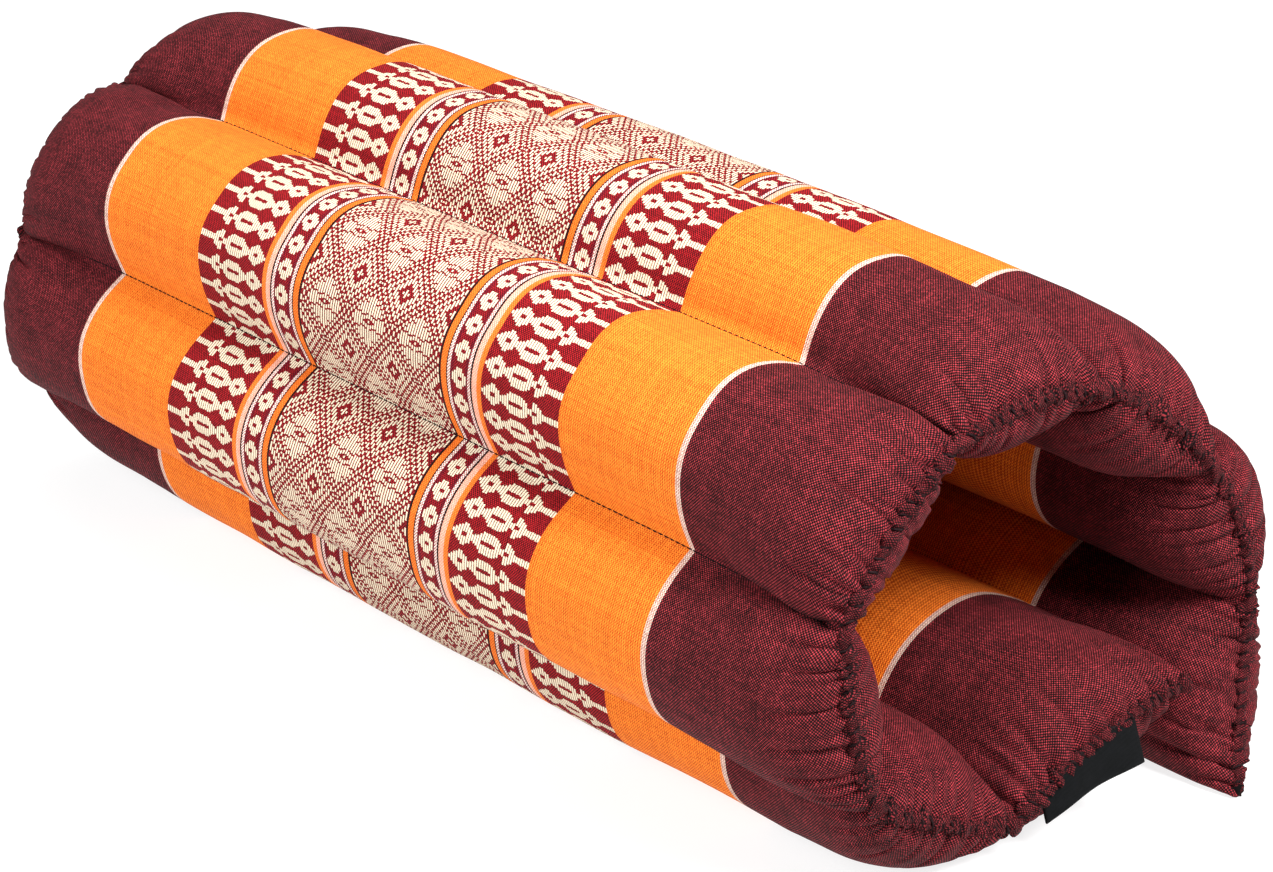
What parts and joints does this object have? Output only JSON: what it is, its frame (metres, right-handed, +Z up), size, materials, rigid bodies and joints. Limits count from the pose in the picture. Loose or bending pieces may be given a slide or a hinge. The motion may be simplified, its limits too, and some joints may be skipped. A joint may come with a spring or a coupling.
{
  "type": "roll-up meditation cushion",
  "caption": "Padded mat of sewn filled channels with gathered end seams, bent round into an open roll that stands on the floor; a small bare label is sewn in one end seam.",
  "frame": {"origin": "on the floor, under the middle of the roll's length and width", "axes": "+X along the channels towards the end with the label, +Z up, +Y towards the side where the roll is open at the floor"},
  "size_m": [0.538, 0.2508, 0.2047],
  "materials": {
    "woven_cotton": "woven cotton, matt",
    "black_tape": "smooth woven tape, slightly lustrous"
  },
  "bodies": {
    "root": {"cushion": "woven_cotton", "label": "black_tape"}
  },
  "joints": []
}
